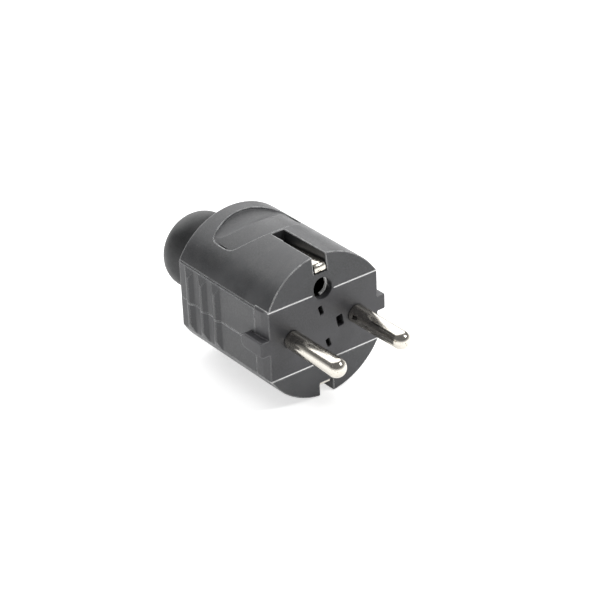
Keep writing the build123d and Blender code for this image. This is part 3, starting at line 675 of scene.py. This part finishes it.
def front_seams():
    """The two straight joints across the front face, which get a painted highlight line, and the part of it
    with holes, which gets no edge wear or painted edge highlight.
    """
    sizes = {"Height": SEAM_Z, "Half Width": SEAM_HIGHLIGHT_HALF_W}
    group, given, result = effect("front_seams", sizes, ["Seam", "Open"])
    own = axes(group, millimetres(group))
    across = calc(group, "ABSOLUTE", (own, "X"))
    past = calc(group, "SUBTRACT", calc(group, "ABSOLUTE", (own, "Z")), (given, "Height"))
    past = calc(group, "DIVIDE", past, (given, "Half Width"))
    line = ramp(group, calc(group, "ABSOLUTE", past), SEAM_HIGHLIGHT_SPAN, FALLS)
    front = ramp(group, (own, "Y"), SEAM_DEPTH_SPAN, FALLS)
    beside_groove = ramp(group, across, SEAM_START_SPAN)
    to(group, product(group, line, front, beside_groove), result, "Seam")
    between_pins = ramp(group, across, HOLES_X_SPAN, FALLS)
    below_seam = ramp(group, past, HOLES_PAST_SEAM_SPAN, FALLS)
    in_face = product(group, between_pins, below_seam)
    rise = calc(group, "SUBTRACT", (own, "Z"), SOCKET_Z)
    squares = [calc(group, "POWER", side, 2.0) for side in (rise, across)]
    away = calc(group, "SQRT", calc(group, "ADD", *squares))
    by_socket = ramp(group, away, SOCKET_AWAY_SPAN, FALLS)
    near = ramp(group, (own, "Y"), HOLES_DEPTH_SPAN, FALLS)
    holes = product(group, calc(group, "MAXIMUM", in_face, by_socket), near)
    to(group, holes, result, "Open")
    return group


def use(tree, name, **values):
    """Places a shared effect in a material, with this material's own values."""
    made = put(tree, "Group", node_tree=EFFECTS[name])
    for label, value in values.items():
        to(tree, value, made, label)
    return made


def blend(tree, share, first, second):
    """A colour that goes from the first to the second by a (node, output) share."""
    made = put(tree, "Mix", data_type="RGBA")
    to(tree, share, made, "Factor")
    to(tree, first, made, MIX_FIRST)
    to(tree, second, made, MIX_SECOND)
    return (made, MIX_RESULT)


def toned(colour, factor):
    """A colour made lighter or darker, at most white."""
    return tuple(min(1.0, factor * part) for part in colour)


def start_material(name, metallic=0.0):
    """A material with its shader, ready for a finish."""
    material = bpy.data.materials.new(name)
    material.use_nodes = True
    shader = material.node_tree.nodes["Principled BSDF"]
    to(material.node_tree, metallic, shader, "Metallic")
    return material, material.node_tree, shader


def roughened(tree, shader, rough, layers):
    """The finish's own roughness, with each layer's amount added where that layer lies."""
    for share, amount in layers:
        rough = calc(tree, "ADD", product(tree, share, amount), rough, clamp=True)
    to(tree, rough, shader, "Roughness")


def relief(tree, shader, height, strength, distance):
    """Fine relief in the surface."""
    bump = put(tree, "Bump")
    to(tree, strength, bump, "Strength")
    to(tree, distance, bump, "Distance")
    to(tree, height, bump, "Height")
    to(tree, (bump, "Normal"), shader, "Normal")


def black_plastic(name, dark, edge_highlight_and_wear, rough, fineness, dust, front_edge_highlight_and_wear):
    """Satin black moulded plastic: grain, edges lightened by wear and a painted highlight, handled patches,
    painted shade in recesses, painted highlight lines on the front seams, some dust.
    """
    material, tree, shader = start_material(name)
    edge_share = use(tree, "outer_edge_marks")
    hands = use(tree, "handling")
    dusty = use(tree, "settled_dust", Amount=dust)
    deep = use(tree, "recess_shade")
    grain = use(tree, "mould_grain", Fineness=fineness)
    seams = use(tree, "front_seams")
    mottled = blend(tree, (grain, "Speck"), toned(dark, MOTTLE_LOW), toned(dark, MOTTLE_HIGH))
    base = blend(tree, (hands, "Patches"), mottled, toned(dark, HANDLED_TONE))
    base = blend(tree, (dusty, "Dust"), base, DUST_COLOUR)
    # Painted shade: near-black in holes, slots and grooves
    base = blend(tree, (deep, "Recess Shade"), base, RECESS_SHADE_COLOUR)
    # Painted highlight with some edge wear: outer edges lightened, brighter near the front
    front = ramp(tree, (axes(tree, millimetres(tree)), "Y"), FRONT_EDGE_HIGHLIGHT_SPAN, FALLS)
    edge_highlight_and_wear_share = product(tree, (edge_share, "Edge Share"), calc(tree, "SUBTRACT", 1.0, (seams, "Open")))
    base = blend(tree, edge_highlight_and_wear_share, base, blend(tree, front, edge_highlight_and_wear, front_edge_highlight_and_wear))
    # Painted highlight: near-white lines along the two front seams
    to(tree, blend(tree, (seams, "Seam"), base, SEAM_HIGHLIGHT_COLOUR), shader, "Base Color")
    layers = (
        ((hands, "Patches"), HANDLED_ROUGH),
        ((grain, "Speck"), SPECK_ROUGH),
        ((hands, "Lines"), LINE_ROUGH),
        ((dusty, "Dust"), DUST_ROUGH),
        ((deep, "Recess Shade"), RECESS_ROUGH),
    )
    roughened(tree, shader, rough, layers)
    relief(tree, shader, (grain, "Height"), GRAIN_STRENGTH, GRAIN_HEIGHT)
    return material


def bright_metal(name, clean, tarnish, rough, line, rim_end=None):
    """Plated or plain metal: tarnish in specks, rubbed lines and edges, and painted shade deep in a hole.

    With rim_end, a painted highlight lies on the mouth of a sleeve up to there, on one side only, and
    painted shade fills its inside.
    """
    material, tree, shader = start_material(name, 1.0)
    hands = use(tree, "handling", Patch=METAL_PATCH, Line=line)
    edge_share = use(tree, "outer_edge_marks")
    deep = use(tree, "recess_shade", Reach=METAL_REACH)
    place = millimetres(tree)
    specks = ramp(tree, noise(tree, place, cells=3.2, detail=5.0, rough=0.7), TARNISH_SPAN)
    stained = product(tree, (hands, "Patches"), specks)
    base = blend(tree, stained, clean, tarnish)
    base = blend(tree, (edge_share, "Edge Share"), base, toned(clean, WORN_TONE))
    # Painted shade: darker metal deep in a hole
    base = blend(tree, (deep, "Recess Shade"), base, toned(clean, RECESS_SHADE_TONE))
    # Painted highlight on one side of the sleeve's mouth, painted shade inside it
    if rim_end is not None:
        own = axes(tree, place)
        behind = ramp(tree, (own, "Y"), (rim_end, rim_end + RIM_FADE))
        far_side = ramp(tree, (own, "X"), RIM_HIGHLIGHT_SIDE_SPAN, FALLS)
        inside = calc(tree, "MAXIMUM", behind, far_side)
        base = blend(tree, inside, RIM_HIGHLIGHT_COLOUR, SLEEVE_INSIDE_SHADE)
        to(tree, inside, shader, "Metallic")
    to(tree, base, shader, "Base Color")
    roughened(tree, shader, rough, (((hands, "Lines"), SCUFF_ROUGH), (stained, STAIN_ROUGH)))
    height = calc(tree, "SUBTRACT", noise(tree, place, cells=5.0, detail=4.0), (hands, "Lines"))
    relief(tree, shader, height, METAL_STRENGTH, METAL_HEIGHT)
    return material


EFFECT_MAKERS = (mould_grain, outer_edge_marks, handling, settled_dust, recess_shade, front_seams)
EFFECTS = {make.__name__: make() for make in EFFECT_MAKERS}
finishes = {
    "housing": black_plastic(
        "housing",
        dark=(0.046, 0.047, 0.05),
        edge_highlight_and_wear=(0.5, 0.505, 0.51),
        rough=0.37,
        fineness=5.0,
        dust=0.25,
        front_edge_highlight_and_wear=(0.68, 0.68, 0.68),
    ),
    "carrier": black_plastic(
        "carrier",
        dark=(0.044, 0.044, 0.048),
        edge_highlight_and_wear=(0.2, 0.2, 0.205),
        rough=0.38,
        fineness=6.0,
        dust=0.12,
        front_edge_highlight_and_wear=(0.22, 0.22, 0.225),
    ),
    "rubber": black_plastic(
        "rubber",
        dark=(0.034, 0.035, 0.036),
        edge_highlight_and_wear=(0.1, 0.1, 0.1),
        rough=0.42,
        fineness=3.5,
        dust=0.3,
        front_edge_highlight_and_wear=(0.1, 0.1, 0.1),
    ),
    "nickel": bright_metal(
        "nickel",
        clean=(0.66, 0.63, 0.57),
        tarnish=(0.3, 0.24, 0.17),
        rough=0.17,
        line=1.0,
    ),
    "sleeve": bright_metal(
        "sleeve",
        clean=(0.9, 0.89, 0.86),
        tarnish=(0.3, 0.24, 0.17),
        rough=0.4,
        line=1.0,
        rim_end=SLEEVE_FRONT + RIM_L,
    ),
    "steel": bright_metal(
        "steel",
        clean=(0.6, 0.6, 0.61),
        tarnish=(0.32, 0.28, 0.24),
        rough=0.28,
        line=0.8,
    ),
    "brass": bright_metal(
        "brass",
        clean=(0.78, 0.6, 0.32),
        tarnish=(0.4, 0.27, 0.14),
        rough=0.25,
        line=0.8,
    ),
}


def place_camera():
    """The photograph's camera, in the row frame."""
    azimuth = math.radians(VIEW_AZIMUTH)
    elevation = math.radians(VIEW_ELEVATION)
    roll = math.radians(VIEW_ROLL)
    back = Vector(
        (
            math.sin(azimuth) * math.cos(elevation),
            -math.cos(azimuth) * math.cos(elevation),
            math.sin(elevation),
        )
    )
    level = Vector((0, 0, 1)).cross(back).normalized()
    upright = back.cross(level)
    right = level * math.cos(roll) + upright * math.sin(roll)
    up = upright * math.cos(roll) - level * math.sin(roll)
    lens = bpy.data.cameras.new("photo_view")
    lens.sensor_width = SENSOR
    lens.lens = LENS
    lens.clip_start = VIEW_CLIP
    camera = link(bpy.data.objects.new("photo_view", lens))
    turn = Matrix((right, up, back)).transposed()
    place = back * VIEW_DISTANCE - right * VIEW_ACROSS - up * VIEW_UP
    camera.matrix_world = Matrix.Translation(place) @ turn.to_4x4()
    bpy.context.scene.camera = camera


def aimed(place, aim):
    """A lamp's position, turned from its place to a point."""
    way = Vector(aim) - Vector(place)
    return Matrix.Translation(place) @ way.to_track_quat("-Z", "Y").to_matrix().to_4x4()


def key_light():
    """One wide soft light from the right rear, the same over the whole floor."""
    light = bpy.data.lights.new("key", "SUN")
    light.energy = KEY_POWER
    light.angle = math.radians(KEY_SPREAD)
    lamp = link(bpy.data.objects.new("key", light))
    lamp.matrix_world = aimed(KEY_TOWARDS, (0, 0, 0))


def front_lamp():
    """A small lamp over the right front, which draws the bright lines along the front edges."""
    light = bpy.data.lights.new("front_lamp", "AREA")
    light.shape = "SQUARE"
    light.size = FRONT_LAMP_SIZE
    light.energy = FRONT_LAMP_POWER
    lamp = link(bpy.data.objects.new("front_lamp", light))
    lamp.matrix_world = aimed(FRONT_LAMP_PLACE, PLUG_MIDDLE)


def pale_floor():
    """A plain pale floor that keeps the plug's shadow; the camera also sees it glow a little."""
    mesh = bpy.data.meshes.new("floor")
    signs = ((-1, -1), (1, -1), (1, 1), (-1, 1))
    corners = [(x * FLOOR_HALF, y * FLOOR_HALF, FLOOR_Z) for x, y in signs]
    mesh.from_pydata(corners, [], [(0, 1, 2, 3)])
    floor = link(bpy.data.objects.new("floor", mesh))
    material, tree, shader = start_material("floor")
    to(tree, (FLOOR_PALE, FLOOR_PALE, FLOOR_PALE), shader, "Base Color")
    to(tree, FLOOR_ROUGH, shader, "Roughness")
    to(tree, 0.0, shader, "Specular IOR Level")
    to(tree, (1, 1, 1), shader, "Emission Color")
    path = put(tree, "LightPath")
    seen = calc(tree, "ADD", (path, "Is Camera Ray"), (path, "Is Glossy Ray"))
    seen = calc(tree, "ADD", seen, (path, "Is Transmission Ray"), clamp=True)
    to(tree, product(tree, seen, SWEEP_GLOW), shader, "Emission Strength")
    mesh.materials.append(material)


def studio_walls():
    """White near the horizon, like a sweep, and a dim ceiling above."""
    world = bpy.data.worlds.new("studio")
    bpy.context.scene.world = world
    world.use_nodes = True
    tree = world.node_tree
    height = (axes(tree, (put(tree, "TexCoord"), "Generated")), "Z")
    background = tree.nodes["Background"]
    to(tree, (1, 1, 1), background, "Color")
    to(tree, ramp(tree, height, SWEEP_ENDS, (1.0, CEILING_GREY)), background, "Strength")


# The visible pieces, each in its solid's place
screw_nodes = slotted_screw_tree()
MOULDED = {
    "upper_shell": ("housing", SHELL_CELL, SHELL_KEPT),
    "lower_shell": ("housing", SHELL_CELL, SHELL_KEPT),
    "contact_carrier": ("carrier", CARRIER_CELL, CARRIER_KEPT),
    "cable_grommet": ("rubber", GROMMET_CELL, GROMMET_KEPT),
}
for node, (finish, cell, kept) in MOULDED.items():
    stands_for(moulded(node, cell, kept), node, finish)
for node in ("pin_left", "pin_right"):
    stands_for(contact_pin(node), node, "nickel")
stands_for(metal_part("earth_bracket"), "earth_bracket", "nickel")
stands_for(metal_part("earth_socket_sleeve"), "earth_socket_sleeve", "nickel", "sleeve")
for node, (shank_r, head_h, up) in SCREWS.items():
    stands_for(screw(node, shank_r, head_h, up), node, "steel")

# Every solid gets its finish too: those that no piece stands for are shown as they are
for part in frame["record"]["subparts"]:
    solid = frame["nodes"][part["node"]]
    solid.data.materials.clear()
    solid.data.materials.append(finishes[part["material_slot"]])

place_camera()
key_light()
front_lamp()
pale_floor()
studio_walls()
bpy.context.scene.view_settings.view_transform = "Standard"
